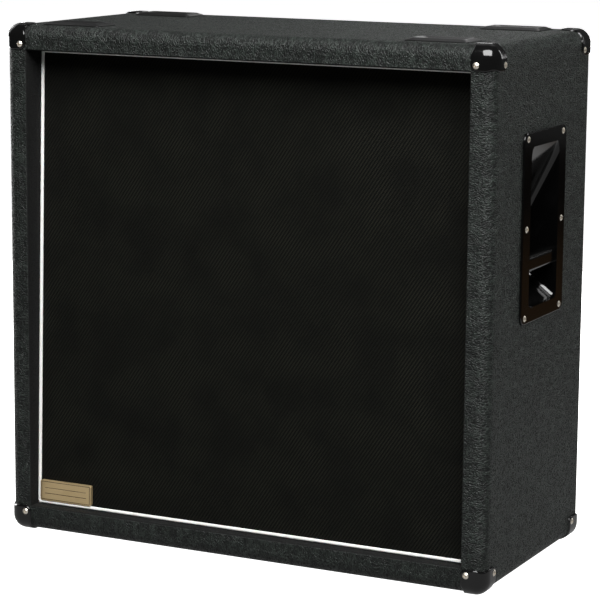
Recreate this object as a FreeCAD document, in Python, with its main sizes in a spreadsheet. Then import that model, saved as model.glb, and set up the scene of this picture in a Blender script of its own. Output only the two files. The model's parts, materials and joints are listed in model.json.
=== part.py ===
import FreeCAD, Part
import math
import os
import re

import Sketcher
from FreeCAD import Placement, Rotation, Vector

# A straight guitar speaker cabinet with four twelve inch speakers behind a cloth grille.
# Millimetres. X runs to the right as seen from the front, Y to the back and Z up.
# The origin is on the floor, under the middle of the cabinet.

SIZES = {
    # The cabinet over its covering
    "cabinet_width": 770,
    "cabinet_height": 755,
    "cabinet_depth": 367,
    "edge_round": 19,
    "front_round": 18,
    "rear_round": 10,
    # Plywood boards, their covering and the front lip around the grille
    "panel": 18,
    "covering": 1,
    "lip_side": 36,
    "lip_top": 36,
    "lip_bottom": 37,
    "lip_round": 2.5,
    # Grille and baffle board: their depth behind the lip at mid-height, and how far they lean back
    "grille_depth": 34.5,
    "grille_tilt": 1.9,
    "cloth": 1,
    "baffle": 18,
    "baffle_gap": 1,
    "piping": 5,
    "piping_gap": 0.2,
    "piping_round": 3.2,
    "piping_tail": 1.2,
    "piping_hold": 3,
    # Back panel, the cleats that carry it and the post behind the baffle
    "back_recess": 4,
    "back_board": 15,
    "back_gap": 1,
    "cleat": 20,
    "post": 45,
    # Corner caps
    "cap_wall": 2.5,
    "cap_round": 11,
    "cap_depth": 38,
    "rear_cap_width": 36,
    "rear_cap_depth": 39,
    "rear_cap_height": 35,
    "cap_screw_edge": 8,
    # Recessed side handles
    "handle_wide": 161,
    "handle_tall": 268,
    "handle_flange": 3,
    "handle_corner": 12,
    "handle_edge": 1.5,
    "handle_back": 4,
    "handle_drop": 260.5,
    "mouth_wide": 107,
    "mouth_tall": 226,
    "mouth_round": 9,
    "handle_depth": 72,
    "handle_wall": 3,
    "handle_fit": 1,
    "handle_slope": 155,
    "handle_flat": 18,
    "handle_sill": 3,
    "handle_screw_edge": 13.5,
    "handle_screw_end": 9,
    "grip_tall": 26,
    "grip_thick": 18,
    "grip_drop": 53,
    "grip_sink": 1,
    "grip_round": 7,
    "grip_seat": 1.5,
    # Stacking dishes on the top, each where the wheel of a castor above it stands off its stem
    "castor_trail": 28,
    "dish_wide": 95,
    "dish_long": 54,
    "dish_round": 5,
    "dish_wall": 1.3,
    "dish_tall": 4.5,
    "dish_bevel": 8,
    "dish_rim": 9.5,
    "dish_slope": 8,
    "dish_sink": 2.4,
    "dish_screw_reach": 22,
    # Castor sockets in the bottom
    "socket_side": 97,
    "socket_front": 79,
    "socket_bore": 5.6,
    "socket_wall": 2.4,
    "socket_long": 36,
    "socket_roof": 3,
    "socket_flange": 22,
    "socket_plate": 1.5,
    "socket_fit": 0.1,
    # Plain plate in the lower left corner of the grille
    "plate_wide": 88,
    "plate_tall": 31,
    "plate_thick": 6,
    "plate_round": 3,
    "plate_side_gap": 0.3,
    "plate_low_gap": 0.3,
    # Speakers, as large as the box takes with room at the boards and a gap between neighbours.
    # Their depths run back from the rear of the baffle.
    "speaker_side_room": 43,
    "speaker_level_room": 35.5,
    "speaker_gap": 26,
    "hole_margin": 14,
    "gasket": 4,
    "gasket_wide": 13,
    "basket_sheet": 2,
    "mouth_margin": 17,
    "basket_deep": 68,
    "basket_neck": 72,
    "basket_back_hole": 31,
    "window_wide": 40,
    "top_plate": 8,
    "top_plate_radius": 66,
    "magnet": 20,
    "magnet_radius": 78,
    "magnet_hole": 36,
    "yoke_plate": 8,
    "yoke_radius": 70,
    "pole_radius": 24.3,
    "coil_gap": 0.6,
    "coil_former": 0.4,
    "coil_wire": 0.6,
    "coil_winding": 12,
    "cone_margin": 31,
    "cone_front": 8,
    "cone_rear": 58,
    "cone_wall": 1.4,
    "cap_radius": 38,
    "cap_rise": 12,
    "cap_skin": 0.8,
    "surround_sheet": 0.6,
    "surround_gap": 0.2,
    "surround_skirt": 1,
    "spider_sheet": 0.6,
    "spider_land": 62,
    "spider_rim": 4,
    "spider_gap": 0.2,
    "spider_height": 4,
    "spider_wave": 1.6,
    "terminal_wide": 10,
    "terminal_tall": 14,
    "terminal_long": 12,
    "lead": 4,
    # Jack plate on the back panel
    "jack_rise": 139.5,
    "jack_plate_wide": 150,
    "jack_plate_tall": 84,
    "jack_plate_thick": 2,
    "jack_plate_round": 8,
    "jack_plate_edge": 11,
    "jack_cut_wide": 112,
    "jack_cut_tall": 48,
    "jack_spread": 38,
    "jack_bore": 3.2,
    "jack_bore_long": 30,
    "jack_bush": 6,
    "jack_collar": 9.5,
    "jack_collar_thick": 2.5,
    "jack_body": 22,
    "jack_body_long": 32,
    "switch_long": 32,
    "switch_tall": 15,
    "switch_deep": 13,
    "slider_long": 10,
    "slider_tall": 8,
    "slider_thick": 2.4,
    "slider_travel": 6,
    "slider_gap": 0.3,
    "knob_long": 6,
    "knob_tall": 6,
    "knob_proud": 4,
    # Screws
    "screw_head": 4.6,
    "screw_dome": 2.2,
    "screw_shank": 1.9,
    "screw_long": 15,
    "small_head": 3.4,
    "small_dome": 1.2,
    "small_shank": 1.5,
    "small_long": 13,
    "panel_head": 4.5,
    "panel_dome": 2.4,
    "panel_shank": 2,
    "panel_screw_long": 34,
    "baffle_screw_pitch": 230,
    "speaker_screw_long": 19,
    "drill_room": 0.1,
}

FINGER_COUNT = 7
WINDOW_COUNT = 8
SPEAKER_SCREW_COUNT = 4
SPIDER_WAVES = 5
ROLL_STEPS = 12

# The cross slot of a screw: its width in head radii and its floor as a share of the dome's height
SLOT_WIDTH_SHARE = 0.2
SLOT_FLOOR_SHARE = 0.45

# Places that follow from the sizes
PLACES = {
    "half_width": "=cabinet_width / 2",
    "front": "=-cabinet_depth / 2",
    "rear": "=cabinet_depth / 2",
    "low": "=cap_wall",
    "high": "=cap_wall + cabinet_height",
    "front_edge": "=min(front_round; edge_round - covering)",
    "rear_edge": "=min(rear_round; edge_round - covering)",
    "wood_half": "=half_width - covering",
    "wood_front": "=front + covering",
    "wood_rear": "=rear - covering",
    "wood_low": "=low + covering",
    "wood_high": "=high - covering",
    "finger": f"=(wood_rear - wood_front) / {FINGER_COUNT}",
    "inner_half": "=wood_half - panel",
    "inner_low": "=wood_low + panel",
    "inner_high": "=wood_high - panel",
    "opening_half": "=half_width - lip_side",
    "opening_low": "=low + lip_bottom",
    "opening_high": "=high - lip_top",
    "cloth_front": "=front + grille_depth",
    "baffle_front": "=cloth_front + cloth",
    "baffle_rear": "=baffle_front + baffle",
    "batten_rear": "=cloth_front - piping_tail",
    "batten_side": "=(inner_half + opening_half + covering) / 2",
    "batten_top": "=(inner_high + opening_high + covering) / 2",
    "batten_bottom": "=(inner_low + opening_low - covering) / 2",
    "vinyl_rear": "=rear - back_recess",
    "board_rear": "=vinyl_rear - covering",
    "board_front": "=board_rear - back_board",
    "cleat_front": "=board_front - cleat",
    "board_half": "=inner_half - covering - back_gap",
    "board_low": "=inner_low + covering + back_gap",
    "board_high": "=inner_high - covering - back_gap",
    "middle": "=(opening_low + opening_high) / 2",
    "tilt_y": "=cloth_front - cloth_front * cos(grille_tilt) - middle * sin(grille_tilt)",
    "tilt_z": "=middle + cloth_front * sin(grille_tilt) - middle * cos(grille_tilt)",
    "socket_x": "=half_width - socket_side",
    "socket_y": "=rear - socket_front",
    "dish_y": "=socket_y + castor_trail",
    "dish_screw_sink": "=small_dome + drill_room",
    "socket_radius": "=socket_bore + socket_wall",
    "plate_left": "=-opening_half + piping + piping_gap + plate_side_gap",
    "plate_low": "=opening_low + piping + piping_gap + plate_low_gap",
    "handle_height": "=high - handle_drop",
    "jack_height": "=middle + jack_rise",
    "side_reach": "=inner_half - speaker_side_room",
    "level_reach": "=(inner_high - inner_low) / 2 - speaker_level_room",
    "speaker_rim": "=(min(side_reach; level_reach) - speaker_gap / 2) / 2",
    "speaker_offset": "=speaker_rim + speaker_gap / 2",
    "speaker_hole": "=speaker_rim - hole_margin",
    "basket_mouth": "=speaker_rim - mouth_margin",
    "cone_edge": "=speaker_rim - cone_margin",
    "speaker_screw_circle": "=speaker_rim - gasket_wide / 2",
    "basket_rear": "=gasket + basket_sheet + basket_deep",
    "top_plate_front": "=basket_rear + basket_sheet",
    "magnet_front": "=top_plate_front + top_plate",
    "yoke_front": "=magnet_front + magnet",
    "coil_inside": "=pole_radius + coil_gap",
    "coil_outside": "=coil_inside + coil_former + coil_wire",
    "coil_front": "=cone_rear - cone_wall",
    "winding_front": "=top_plate_front + (top_plate - coil_winding) / 2",
    "coil_rear": "=winding_front + coil_winding",
    "jack_face": "=vinyl_rear + jack_plate_thick",
    "switch_cavity": "=slider_thick + 2 * slider_gap",
}

os.makedirs("parts", exist_ok=True)
doc = FreeCAD.newDocument("speaker_cabinet")
sheet = doc.addObject("Spreadsheet::Sheet", "sizes")
for row, (name, text) in enumerate({**SIZES, **PLACES}.items(), start=1):
    sheet.set(f"A{row}", name)
    sheet.set(f"B{row}", str(text))
    sheet.setAlias(f"B{row}", name)
doc.recompute()

pieces = []


def size(name):
    """The value of one cell of the sheet."""
    return float(sheet.get(name))


def bound(text):
    """An expression over the sheet's cells, written with their plain names."""
    return re.sub(r"[a-z][a-z_]+", lambda word: "sizes." + word.group(), str(text))


def keep(thing, label):
    """Mark an object as one of the cabinet's pieces, under its own name."""
    thing.Label = label
    pieces.append(thing)
    return thing


def place(thing, x=0, y=0, z=0):
    """Bind an object's position to expressions."""
    for axis, text in zip("xyz", (x, y, z)):
        thing.setExpression(f".Placement.Base.{axis}", bound(text))
    return thing


def block(name, x, y, z):
    """A box between a start and an end along each axis."""
    box = doc.addObject("Part::Box", name)
    for side, (start, end) in zip(("Length", "Width", "Height"), (x, y, z)):
        box.setExpression(side, bound(f"({end}) - ({start})"))
    return place(box, x[0], y[0], z[0])


def rod(name, radius, start, end):
    """A cylinder on the Z axis."""
    cylinder = doc.addObject("Part::Cylinder", name)
    cylinder.setExpression("Radius", bound(radius))
    cylinder.setExpression("Height", bound(f"({end}) - ({start})"))
    return place(cylinder, 0, 0, start)


def horn(name, first, second, start, end):
    """A truncated cone on the Z axis."""
    cone = doc.addObject("Part::Cone", name)
    cone.setExpression("Radius1", bound(first))
    cone.setExpression("Radius2", bound(second))
    cone.setExpression("Height", bound(f"({end}) - ({start})"))
    return place(cone, 0, 0, start)


def join(name, *things):
    fused = doc.addObject("Part::MultiFuse", name)
    fused.Shapes = list(things)
    return fused


def gather(name, things):
    """Several separate solids under one name."""
    compound = doc.addObject("Part::Compound", name)
    compound.Links = list(things)
    return compound


def leaning(name, things):
    """Separate solids, made upright, that lean back with the grille about its middle."""
    tilted = gather(name, things)
    tilted.Placement = Placement(Vector(), Rotation(Vector(-1, 0, 0), size("grille_tilt")))
    tilted.setExpression(".Placement.Rotation.Angle", bound("grille_tilt"))
    return place(tilted, 0, "tilt_y", "tilt_z")


def cut(name, base, *tools):
    result = doc.addObject("Part::Cut", name)
    result.Base = base
    result.Tool = tools[0] if len(tools) == 1 else join(name + "_tools", *tools)
    return result


def overlap(name, first, second):
    result = doc.addObject("Part::Common", name)
    result.Base = first
    result.Tool = second
    return result


def tube(name, inside, outside, start, end):
    return cut(name, rod(name + "_outside", outside, start, end), rod(name + "_inside", inside, start, end))


def feature(name, shape):
    """An object whose shape is made from the sheet's values."""
    thing = doc.addObject("Part::Feature", name)
    thing.Shape = shape
    return thing


def facing(point, outward):
    """A placement at a point that turns the Z axis along an outward direction."""
    return Placement(point, Rotation(Vector(0, 0, 1), outward))


def copies(shape, placements):
    """A compound of one shape at several placements."""
    return Part.makeCompound([shape.copy().transformed(spot.toMatrix()) for spot in placements])


def flat_face(points):
    """A face in the plane of a closed outline of straight lines."""
    return Part.Face(Part.makePolygon(points + points[:1]))


def round_box(low, high, radius, along):
    """A box whose four edges along one axis are rounded."""
    box = Part.makeBox(*(high - low), low)
    edges = [edge for edge in box.Edges if abs(edge.tangentAt(edge.FirstParameter).dot(along)) > 0.9]
    return box.makeFillet(radius, edges)


def rectangle_sketch(body, name, plane_role, width, height):
    """A rectangle about the origin of one of a body's own planes."""
    sketch = body.newObject("Sketcher::SketchObject", name)
    plane = next(item for item in body.Origin.OriginFeatures if item.Role == plane_role)
    sketch.AttachmentSupport = [(plane, "")]
    sketch.MapMode = "FlatFace"
    corners = [Vector(-1, -1), Vector(1, -1), Vector(1, 1), Vector(-1, 1)]
    for index, corner in enumerate(corners):
        sketch.addGeometry(Part.LineSegment(corner, corners[(index + 1) % 4]))
    for index in range(4):
        sketch.addConstraint(Sketcher.Constraint("Coincident", index, 2, (index + 1) % 4, 1))
        direction = "Vertical" if index % 2 else "Horizontal"
        sketch.addConstraint(Sketcher.Constraint(direction, index))
    sketch.addConstraint(Sketcher.Constraint("Symmetric", 0, 1, 1, 2, -1, 1))
    for line, kind, text in ((0, "DistanceX", width), (1, "DistanceY", height)):
        number = sketch.addConstraint(Sketcher.Constraint(kind, line, 1, line, 2, 2))
        sketch.setExpression(f"Constraints[{number}]", bound(text))
    return sketch


def pad(body, name, sketch, length, symmetric=False):
    solid = body.newObject("PartDesign::Pad", name)
    solid.Profile = sketch
    if symmetric:
        solid.SideType = "Symmetric"
    solid.setExpression("Length", bound(length))
    doc.recompute()
    return solid


def round_edges(body, name, base, radius, chosen):
    """Round the edges of a feature that a test chooses."""
    rounding = body.newObject("PartDesign::Fillet", name)
    names = [f"Edge{number}" for number, edge in enumerate(base.Shape.Edges, start=1) if chosen(edge)]
    rounding.Base = (base, names)
    rounding.setExpression("Radius", bound(radius))
    doc.recompute()
    return rounding


def cabinet_block(name, grow):
    """The cabinet's rounded outside, grown by an amount on every side."""
    body = doc.addObject("PartDesign::Body", name)
    outline = rectangle_sketch(
        body, name + "_outline", "XZ_Plane", f"cabinet_width + 2 * {grow}", f"cabinet_height + 2 * {grow}"
    )
    solid = pad(body, name + "_pad", outline, f"cabinet_depth + 2 * {grow}", symmetric=True)
    half = solid.Shape.BoundBox.YMax

    def runs_back(edge):
        return abs(edge.tangentAt(edge.FirstParameter).y) > 0.9

    def at_front(edge):
        return edge.BoundBox.YMax < -half + 0.01

    def at_rear(edge):
        return edge.BoundBox.YMin > half - 0.01

    solid = round_edges(body, name + "_sides", solid, f"edge_round + {grow}", runs_back)
    solid = round_edges(body, name + "_front", solid, f"front_edge + {grow}", at_front)
    round_edges(body, name + "_rear", solid, f"rear_edge + {grow}", at_rear)
    return place(body, 0, 0, "(low + high) / 2")


def dome_screw(head, dome, shank, length):
    """A domed, cross slotted screw with its seat at the origin, its head towards Z and its shank below."""
    rise = (head * head - dome * dome) / (2 * dome)
    ball = Part.makeSphere(head * head / (2 * dome) + dome / 2, Vector(0, 0, -rise))
    top = Part.makeCylinder(head, dome).common(ball)
    slot_wide = head * SLOT_WIDTH_SHARE
    slot = Part.makeBox(head, slot_wide, dome, Vector(-head / 2, -slot_wide / 2, dome * SLOT_FLOOR_SHARE))
    cross = slot.fuse(slot.rotated(Vector(), Vector(0, 0, 1), 90))
    return top.cut(cross).fuse(Part.makeCylinder(shank, length, Vector(0, 0, -length)))


def drill(shank, length):
    """The hole for a screw's shank."""
    return Part.makeCylinder(shank + size("drill_room"), length + size("drill_room"), Vector(0, 0, -length))


# Forms that the boards, the covering and the corner caps are cut from
wood_form = cabinet_block("wood_form", "(0 - covering)")
covering_form = cabinet_block("covering_form", "0")
cap_form = cabinet_block("cap_form", "cap_wall")

# Where every screw stands, with the way its head faces
sides = (-1, 1)
half_width = size("half_width")
low, high = size("low"), size("high")
front, rear = size("front"), size("rear")
cap_wall = size("cap_wall")
panel_middle = size("wood_half") - size("panel") / 2
lean = Placement(
    Vector(0, size("tilt_y"), size("tilt_z")), Rotation(Vector(-1, 0, 0), size("grille_tilt"))
)


def corner_screw_places():
    """A screw through the face and one through the side of each corner cap."""
    places = []
    edge = size("cap_screw_edge")
    front_y = front + size("cap_depth") - edge
    rear_y = rear - size("rear_cap_depth") + edge
    rear_rise = size("rear_cap_height") - edge
    for x in sides:
        side = x * (half_width + cap_wall)
        for z in (size("batten_bottom"), size("batten_top")):
            places.append(facing(Vector(x * size("batten_side"), front - cap_wall, z), Vector(0, -1, 0)))
            places.append(facing(Vector(side, front_y, z), Vector(x, 0, 0)))
        for z in (low + rear_rise, high - rear_rise):
            places.append(facing(Vector(x * panel_middle, rear + cap_wall, z), Vector(0, 1, 0)))
            places.append(facing(Vector(side, rear_y, z), Vector(x, 0, 0)))
    return places


def handle_screw_places():
    places = []
    half_wide = size("handle_wide") / 2 - size("handle_screw_edge")
    half_tall = size("handle_tall") / 2 - size("handle_screw_end")
    for x in sides:
        for across in sides:
            for step in (-1, 0, 1):
                point = Vector(
                    x * (half_width + size("handle_flange")),
                    size("handle_back") + across * half_wide,
                    size("handle_height") + step * half_tall,
                )
                places.append(facing(point, Vector(x, 0, 0)))
    return places


def small_screw_places():
    """Two screws sunk in the floor of each stacking dish and one in each corner of the jack plate."""
    places = []
    dish_seat = high + size("dish_tall") - size("dish_sink") - size("dish_screw_sink")
    for x in sides:
        for y in sides:
            for end in sides:
                across = x * size("socket_x") + end * size("dish_screw_reach")
                point = Vector(across, y * size("dish_y"), dish_seat)
                places.append(facing(point, Vector(0, 0, 1)))
    for x in sides:
        for z in sides:
            point = Vector(
                x * (size("jack_plate_wide") / 2 - size("jack_plate_edge")),
                size("jack_face"),
                size("jack_height") + z * (size("jack_plate_tall") / 2 - size("jack_plate_edge")),
            )
            places.append(facing(point, Vector(0, 1, 0)))
    return places


def back_screw_places():
    """Screws around the back panel, into the cleats, and two into the post."""
    edge = size("inner_half") - size("cleat") / 2
    floor = size("inner_low") + size("cleat") / 2
    roof = size("inner_high") - size("cleat") / 2
    spots = [(edge * step / 2, z) for step in (-2, -1, 0, 1, 2) for z in (floor, roof)]
    spots += [(x * edge, floor + (roof - floor) * share) for x in sides for share in (0.25, 0.5, 0.75)]
    spots += [(0, size("middle") + z * size("post") / 4) for z in sides]
    return [facing(Vector(x, size("vinyl_rear"), z), Vector(0, 1, 0)) for x, z in spots]


def baffle_screw_places():
    """Screws through the baffle board and the cloth into the front battens."""
    shifts = [step * size("baffle_screw_pitch") for step in (-1, 0, 1)]
    spots = [(x * size("batten_side"), size("middle") + shift) for x in sides for shift in shifts]
    spots += [(shift, z) for z in (size("batten_bottom"), size("batten_top")) for shift in shifts]
    return [lean * facing(Vector(x, size("baffle_rear"), z), Vector(0, 1, 0)) for x, z in spots]


speaker_centres = [
    Vector(x * size("speaker_offset"), size("baffle_rear"), size("middle") + z * size("speaker_offset"))
    for z in (1, -1)
    for x in sides
]


def speaker_screw_places():
    places = []
    seat = size("gasket") + size("basket_sheet")
    for centre in speaker_centres:
        for index in range(SPEAKER_SCREW_COUNT):
            angle = math.radians(45 + index * 360 / SPEAKER_SCREW_COUNT)
            radius = size("speaker_screw_circle")
            point = centre + Vector(radius * math.cos(angle), seat, radius * math.sin(angle))
            places.append(lean * facing(point, Vector(0, 1, 0)))
    return places


def screws(label, places, kind, length):
    """A node of identical screws."""
    head, dome, shank = (size(f"{kind}_{name}") for name in ("head", "dome", "shank"))
    keep(feature(label, copies(dome_screw(head, dome, shank, length), places)), label)


def screw_holes(name, places, kind, length):
    """The holes that screws of one kind need."""
    return feature(name, copies(drill(size(f"{kind}_shank"), length), places))


outer_places = corner_screw_places() + handle_screw_places()
outer_long = size("screw_long")
screws("corner_and_handle_screws", outer_places, "screw", outer_long)
outer_holes = screw_holes("outer_holes", outer_places, "screw", outer_long)
small_long = size("small_long")
screws("dish_and_jack_plate_screws", small_screw_places(), "small", small_long)
small_holes = screw_holes("small_holes", small_screw_places(), "small", small_long)
panel_long = size("panel_screw_long")
screws("panel_screws", back_screw_places() + baffle_screw_places(), "panel", panel_long)
back_holes = screw_holes("back_holes", back_screw_places(), "panel", panel_long)
baffle_holes = screw_holes("baffle_holes", baffle_screw_places(), "panel", panel_long)
speaker_long = size("speaker_screw_long")
screws("speaker_screws", speaker_screw_places(), "panel", speaker_long)
speaker_holes = screw_holes("speaker_holes", speaker_screw_places(), "panel", speaker_long)

# Openings that the boards and the covering share
handle_cuts = gather(
    "handle_cuts",
    [
        block(
            f"handle_cut_{side}",
            reach,
            (
                "handle_back - mouth_wide / 2 - handle_wall - handle_fit",
                "handle_back + mouth_wide / 2 + handle_wall + handle_fit",
            ),
            (
                "handle_height - mouth_tall / 2 - handle_wall - handle_fit",
                "handle_height + mouth_tall / 2 + handle_wall + handle_fit",
            ),
        )
        for side, reach in (
            ("left", ("0 - half_width - cap_wall", "0 - inner_half + panel")),
            ("right", ("inner_half - panel", "half_width + cap_wall")),
        )
    ],
)


def socket_hole(index, x, y):
    hole = rod(f"socket_hole_{index}", "socket_radius + socket_fit", "0", "inner_low + panel")
    return place(hole, f"{x} * socket_x", f"{y} * socket_y", 0)


socket_spots = [(x, y) for x in sides for y in sides]
socket_holes = gather("socket_holes", [socket_hole(n, x, y) for n, (x, y) in enumerate(socket_spots)])


# Boards of the shell, finger jointed at the corners
def finger_slots(name, first, x, z):
    """Slots for every second finger along a board's end."""
    slots = []
    for index in range(first, FINGER_COUNT, 2):
        reach = (f"wood_front + finger * {index}", f"wood_front + finger * {index + 1}")
        slots.append(block(f"{name}_{index}", x, reach, z))
    return slots


def level_board(label, z, holes):
    slab = block(label + "_slab", ("0 - wood_half", "wood_half"), ("wood_front", "wood_rear"), z)
    slots = finger_slots(label + "_left", 1, ("0 - wood_half", "0 - inner_half"), z)
    slots += finger_slots(label + "_right", 1, ("inner_half", "wood_half"), z)
    board = cut(label + "_fingers", slab, gather(label + "_slots", slots))
    board = overlap(label + "_rounded", board, wood_form)
    return keep(cut(label, board, holes), label)


def side_board(label, x):
    tall = ("wood_low", "wood_high")
    slab = block(label + "_slab", x, ("wood_front", "wood_rear"), tall)
    slots = finger_slots(label + "_low", 0, x, ("wood_low", "inner_low"))
    slots += finger_slots(label + "_high", 0, x, ("inner_high", "wood_high"))
    board = cut(label + "_fingers", slab, gather(label + "_slots", slots))
    board = overlap(label + "_rounded", board, wood_form)
    board = cut(label + "_handle", board, handle_cuts)
    return keep(cut(label, board, outer_holes), label)


level_board("top_panel", ("inner_high", "wood_high"), small_holes)
level_board("bottom_panel", ("wood_low", "inner_low"), socket_holes)
side_board("left_side_panel", ("0 - wood_half", "0 - inner_half"))
side_board("right_side_panel", ("inner_half", "wood_half"))

# Battens behind the front lip, whose rear faces lean with the grille
batten_depth = ("wood_front", "baffle_rear")
behind_battens = leaning(
    "behind_battens",
    [
        block(
            "behind_battens_upright", ("0 - half_width", "half_width"), ("batten_rear", "rear"),
            ("low - panel", "high + panel"),
        )
    ],
)
batten_tall = ("opening_low - covering", "opening_high + covering")
inner_span = ("0 - inner_half", "inner_half")
battens = [
    block("batten_top", inner_span, batten_depth, ("opening_high + covering", "inner_high")),
    block("batten_bottom", inner_span, batten_depth, ("inner_low", "opening_low - covering")),
    block("batten_left", ("0 - inner_half", "0 - opening_half - covering"), batten_depth, batten_tall),
    block("batten_right", ("opening_half + covering", "inner_half"), batten_depth, batten_tall),
]
battens = [cut(b.Name + "_sloped", b, behind_battens) for b in battens]
front_frame = join("front_frame", *battens)
batten_holes = gather("batten_holes", [outer_holes, baffle_holes])
keep(gather("front_battens", [cut(b.Name + "_drilled", b, batten_holes) for b in battens]), "front_battens")

# Cleats that the back panel is screwed to
cleat_depth = ("cleat_front", "board_front")
cleat_tall = ("inner_low + cleat", "inner_high - cleat")
cleats = [
    block("cleat_top", inner_span, cleat_depth, ("inner_high - cleat", "inner_high")),
    block("cleat_bottom", inner_span, cleat_depth, ("inner_low", "inner_low + cleat")),
    block("cleat_left", ("0 - inner_half", "cleat - inner_half"), cleat_depth, cleat_tall),
    block("cleat_right", ("inner_half - cleat", "inner_half"), cleat_depth, cleat_tall),
]
keep(gather("rear_cleats", [cut(c.Name + "_drilled", c, back_holes) for c in cleats]), "rear_cleats")

# Covering: a skin over the whole shell that turns in around the grille and at the back
through = ("front - cap_wall", "rear + cap_wall")
inner_tall = ("inner_low", "inner_high")
timber_tube = cut("timber_tube", wood_form, block("shell_bore", inner_span, through, inner_tall))
timber = join("timber", timber_tube, front_frame)
front_opening = block(
    "front_opening", ("0 - opening_half", "opening_half"), ("front - cap_wall", "board_front"),
    ("opening_low", "opening_high"),
)
inside_box = block("inside_box", inner_span, ("wood_front", "board_front"), inner_tall)
inside_space = overlap("inside_space", inside_box, behind_battens)
rear_opening = block(
    "rear_opening", ("covering - inner_half", "inner_half - covering"), ("cleat_front", "rear + cap_wall"),
    ("inner_low + covering", "inner_high - covering"),
)
skin = cut("skin", covering_form, front_opening, inside_space, rear_opening)
skin = cut("skin_over_timber", skin, timber)
doc.recompute()


def lip_edge(edge):
    """An edge between the front of the lip and the recess."""
    box = edge.BoundBox
    flat = box.YMax < front + 0.01
    return flat and max(abs(box.XMin), abs(box.XMax)) < size("opening_half") + 0.01


lip = doc.addObject("Part::Fillet", "lip_rounding")
lip.Base = skin
lip_radius = size("lip_round")
lip.Edges = [(n, lip_radius, lip_radius) for n, e in enumerate(skin.Shape.Edges, start=1) if lip_edge(e)]
skin = cut("skin_handles", lip, handle_cuts)
skin = cut("skin_sockets", skin, socket_holes)
skin = cut("skin_screws", skin, gather("skin_holes", [outer_holes, small_holes]))
keep(skin, "vinyl_covering")

# Baffle board with a hole for each speaker
baffle_wide = ("baffle_gap - inner_half", "inner_half - baffle_gap")
baffle_tall = ("inner_low + baffle_gap", "inner_high - baffle_gap")
facing_back = Rotation(Vector(1, 0, 0), -90)


def to_speaker(thing, index):
    """Turn a piece made along Z to face back, and set it on one speaker's centre."""
    x = ("-1", "1", "-1", "1")[index]
    z = ("1", "1", "-1", "-1")[index]
    thing.Placement = Placement(Vector(), facing_back)
    return place(thing, f"{x} * speaker_offset", "baffle_rear", f"middle + {z} * speaker_offset")


def mouth(index):
    hole = rod(f"mouth_{index}", "speaker_hole", "0 - 2 * baffle", "baffle")
    return to_speaker(gather(f"mouth_turned_{index}", [hole]), index)


speaker_numbers = range(4)
mouths = [mouth(number) for number in speaker_numbers]
board = block("baffle_slab", baffle_wide, ("baffle_front", "baffle_rear"), baffle_tall)
board = leaning("baffle_leaning", [cut("baffle_mouths", board, gather("mouths", mouths))])
board = cut("baffle_drilled", board, gather("board_holes", [baffle_holes, speaker_holes]))
keep(board, "baffle_board")

# Grille cloth stretched over the baffle
cloth = block("cloth_sheet", baffle_wide, ("cloth_front", "baffle_front"), baffle_tall)
keep(cut("grille_cloth", leaning("cloth_leaning", [cloth]), baffle_holes), "grille_cloth")


# Piping: a bead around the grille with a flat tail that the battens pinch against the cloth
def rounded_loop(half, bottom, top, radius, y):
    """A closed path around a rectangle with round corners, facing the front."""
    corners = [(half, bottom), (half, top), (-half, top), (-half, bottom)]
    edges = []
    last = None
    for index, (x, z) in enumerate(corners):
        before = corners[index - 1]
        after = corners[(index + 1) % 4]
        here = Vector(x, y, z)
        into = (here - Vector(before[0], y, before[1])).normalize()
        away = (Vector(after[0], y, after[1]) - here).normalize()
        start = here - into * radius
        end = here + away * radius
        bend = here + (away - into) * radius * (1 - math.sqrt(0.5))
        if last is not None:
            edges.append(Part.LineSegment(last, start).toShape())
        else:
            first = start
        edges.append(Part.Arc(start, bend, end).toShape())
        last = end
    edges.append(Part.LineSegment(last, first).toShape())
    return Part.Wire(edges)


def piping_shape():
    radius = size("piping") / 2
    inset = radius + size("piping_gap")
    y = size("cloth_front") - inset
    half = size("opening_half") - inset
    bottom = size("opening_low") + inset
    top = size("opening_high") - inset
    path = rounded_loop(half, bottom, top, size("piping_round"), y)
    start = path.Edges[0].valueAt(path.Edges[0].FirstParameter)
    section = Part.Wire(Part.Circle(start, Vector(1, 0, 0), radius).toShape())
    bead = path.makePipeShell([section], True, False)
    hold = inset + size("piping_hold")
    back = size("batten_rear")
    tail_outside = rounded_loop(half + hold, bottom - hold, top + hold, size("piping_round"), back)
    tail_inside = rounded_loop(half, bottom, top, size("piping_round"), back)
    ring = Part.Face(tail_outside).cut(Part.Face(tail_inside))
    tail = ring.extrude(Vector(0, size("piping_tail"), 0))
    return bead.fuse(tail).Solids[0]


keep(leaning("grille_piping", [feature("piping_upright", piping_shape())]), "grille_piping")


# Plain plate on the cloth
def corner_plate_shape():
    start = Vector(size("plate_left"), size("cloth_front") - size("plate_thick"), size("plate_low"))
    end = start + Vector(size("plate_wide"), size("plate_thick"), size("plate_tall"))
    return round_box(start, end, size("plate_round"), Vector(0, 1, 0))


keep(leaning("corner_plate", [feature("plate_upright", corner_plate_shape())]), "corner_plate")

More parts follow.
